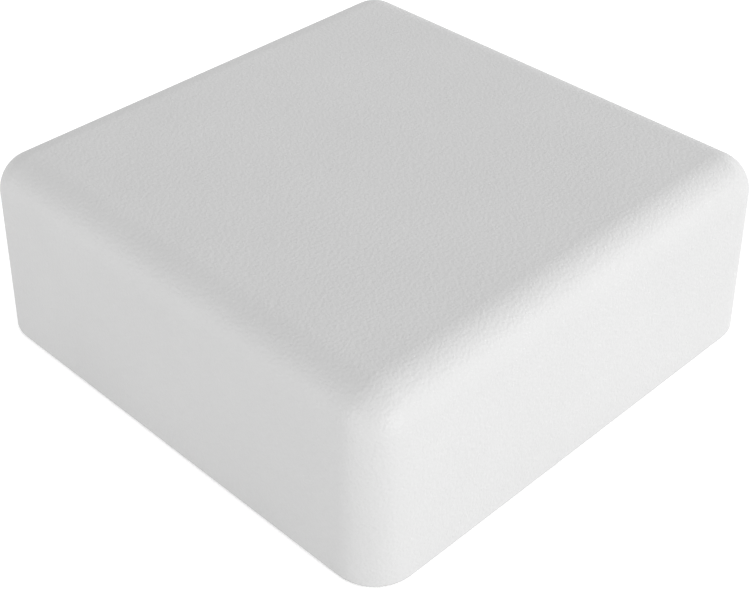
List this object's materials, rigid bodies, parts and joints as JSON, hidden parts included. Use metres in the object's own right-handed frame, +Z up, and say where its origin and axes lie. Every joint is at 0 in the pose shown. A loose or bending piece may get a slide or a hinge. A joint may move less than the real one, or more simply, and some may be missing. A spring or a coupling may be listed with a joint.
{
  "type": "gps tracker",
  "caption": "Rounded square battery tracker in pale plastic: one-piece cover over a screwed base, board, antennas and pouch cell inside, hinged port door hiding a charging socket and button.",
  "frame": {"origin": "centre of the underside, on the surface that it rests on", "axes": "+Z up through the top; +Y out of the wall with the port door; -Y is the wall that the picture shows on its right, -X the one on its left"},
  "size_m": [0.07, 0.07, 0.0256],
  "materials": {
    "case_shell": "fine moulded grain, satin",
    "port_door": "fine moulded grain, satin",
    "seal_rubber": "smooth",
    "foam": "open cell foam",
    "screw_steel": "zinc plated",
    "insert_brass": "knurled",
    "board": "solder mask",
    "adhesive_tape": "plain",
    "antenna_ceramic": "fired, unglazed",
    "silver_plate": "silvered",
    "tinned": "tinned",
    "antenna_block": "pressed",
    "gold_track": "plated",
    "module_board": "solder mask",
    "can_steel": "tin plated",
    "chip_black": "moulded",
    "ferrite": "pressed",
    "tantalum": "moulded",
    "passive_body": "fired",
    "pouch": "laminate foil",
    "amber_tape": "film",
    "lead_red": "insulation",
    "lead_black": "insulation",
    "connector_white": "moulded",
    "tongue_black": "moulded",
    "button_grey": "moulded",
    "light_pipe": "clear acrylic",
    "led_white": "moulded"
  },
  "bodies": {
    "case": {"top_cover": "case_shell", "base_cover": "case_shell", "cover_seal": "seal_rubber", "case_screws": "screw_steel", "threaded_inserts": "insert_brass", "main_board": "board", "board_screws": "screw_steel", "antenna_tape": "adhesive_tape", "antenna_ceramic": "antenna_ceramic", "antenna_electrode": "silver_plate", "antenna_pin": "tinned", "cellular_antenna": "antenna_block", "cellular_antenna_track": "gold_track", "modem_base": "module_board", "modem_can": "can_steel", "gnss_base": "module_board", "gnss_can": "can_steel", "processor_chip": "chip_black", "sim_chip": "chip_black", "motion_sensor": "chip_black", "charger_chip": "chip_black", "power_inductors": "ferrite", "bulk_capacitors": "tantalum", "crystal_can": "can_steel", "chip_passives": "passive_body", "battery_cell": "pouch", "battery_end_board": "board", "battery_tape": "amber_tape", "battery_pad_lower": "foam", "battery_pad_upper": "foam", "battery_lead_plus": "lead_red", "battery_lead_minus": "lead_black", "battery_plug": "connector_white", "battery_header": "connector_white", "header_pins": "tinned", "socket_shell": "can_steel", "socket_tongue": "tongue_black", "socket_contacts": "gold_track", "switch_body": "chip_black", "status_led": "led_white", "light_pipe": "light_pipe"},
    "door": {"port_door": "port_door", "door_seal": "seal_rubber"},
    "button": {"power_button": "button_grey", "switch_plunger": "connector_white"}
  },
  "joints": [
    {"name": "door_hinge", "type": "hinge", "parent": "case", "child": "door", "pos_m": [-0.012, 0.03373, 0.01262], "axis": [0, -0.0332, 0.9994], "range_deg": [0, 100]},
    {"name": "button_press", "type": "slide", "parent": "case", "child": "button", "axis": [0, -1, 0], "range_m": [0, 0.0004], "stiffness_N_per_m": 800, "springref_m": -0.0012}
  ]
}
